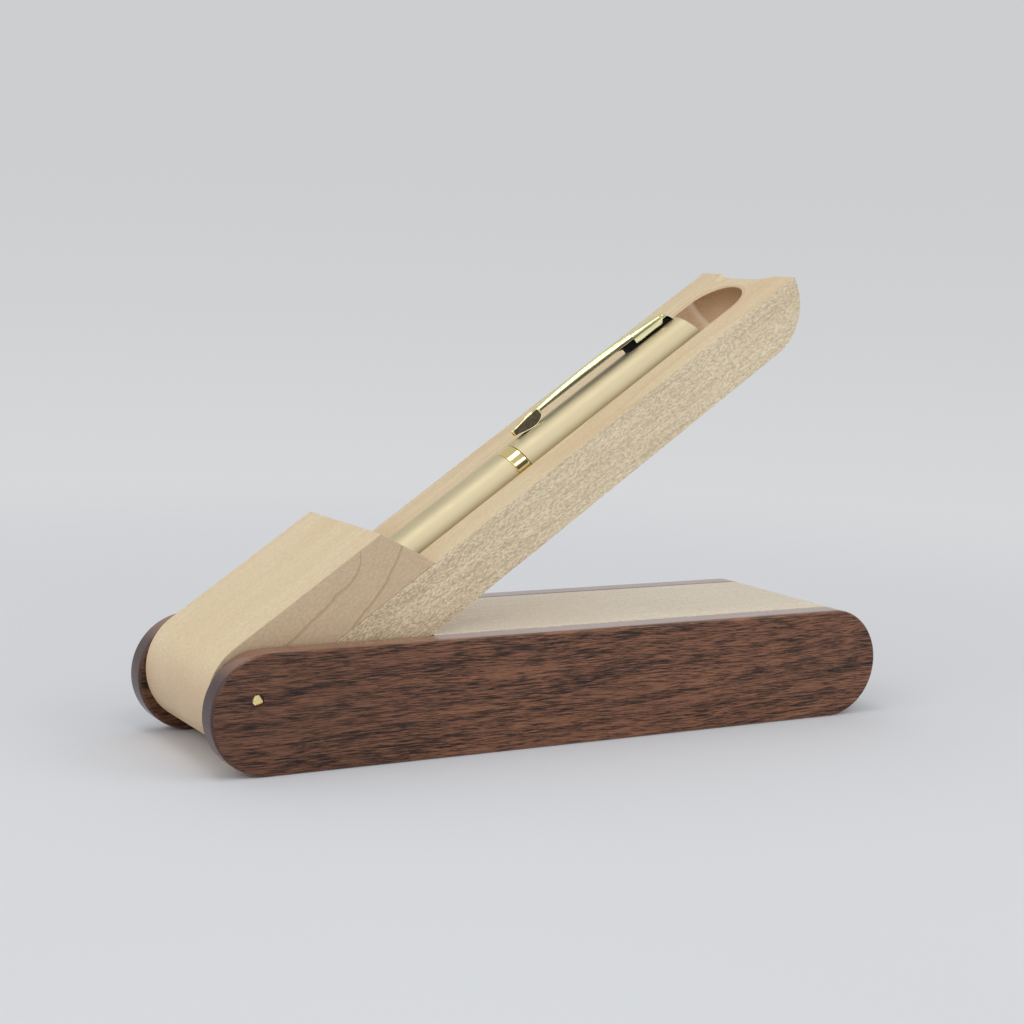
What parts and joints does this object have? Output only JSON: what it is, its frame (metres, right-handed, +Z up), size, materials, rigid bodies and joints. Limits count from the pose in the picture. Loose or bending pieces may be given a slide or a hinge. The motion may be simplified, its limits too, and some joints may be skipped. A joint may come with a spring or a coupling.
{
  "type": "pen box",
  "caption": "Round-ended wooden pen box with a grooved holder that swings right round on an off-centre pin and leans on the box as a sloping pen stand, with its twist pen.",
  "frame": {"origin": "centre of the box's footprint, on the table", "axes": "+X along the box from its pivot end, +Y across the box towards the far side plate, +Z up from the table"},
  "size_m": [0.176, 0.0498, 0.1073],
  "materials": {
    "dark_wood": "oiled, straight dark streaks, satin edges",
    "pale_wood": "sanded pale hardwood, fine straight grain, matte",
    "pin_brass": "filed flush",
    "champagne": "matte anodised champagne gold",
    "polished_gold": "polished gold plate",
    "mechanism_brass": "plain turned",
    "ink_tube": "smooth",
    "point_steel": "turned"
  },
  "bodies": {
    "base": {"near_side_plate": "dark_wood", "far_side_plate": "dark_wood", "base_block": "pale_wood", "pivot_pin": "pin_brass"},
    "holder": {"holder_arm": "pale_wood", "holder_front_block": "pale_wood"},
    "pen_upper": {"pen_upper_barrel": "champagne", "pen_clip": "polished_gold", "pen_end_plug": "champagne", "pen_twist_head": "mechanism_brass"},
    "pen_lower": {"pen_lower_barrel": "champagne", "pen_centre_ring": "polished_gold", "pen_nose_tip": "polished_gold", "pen_twist_body": "mechanism_brass"},
    "refill": {"pen_refill_tube": "ink_tube", "pen_refill_point": "point_steel"}
  },
  "joints": [
    {"name": "holder_swing", "type": "hinge", "parent": "base", "child": "holder", "pos_m": [-0.0778, 0, 0.0166], "axis": [0, -1, 0], "range_deg": [0, 325.62]},
    {"name": "pen_slide", "type": "slide", "parent": "holder", "child": "pen_upper", "axis": [0.8253, 0, 0.5647], "range_m": [0, 0.0084]},
    {"name": "pen_twist", "type": "hinge", "parent": "pen_upper", "child": "pen_lower", "pos_m": [-0.06597, 0, 0.01712], "axis": [0.8253, 0, 0.5647], "range_deg": [0, 180]},
    {"name": "refill_extend", "type": "slide", "parent": "pen_lower", "child": "refill", "axis": [-0.8253, 0, -0.5647], "range_m": [0, 0.0043]}
  ],
  "couplings": [
    {"joint": "refill_extend", "follows": "pen_twist", "m_per_rad": 0.0013369}
  ]
}
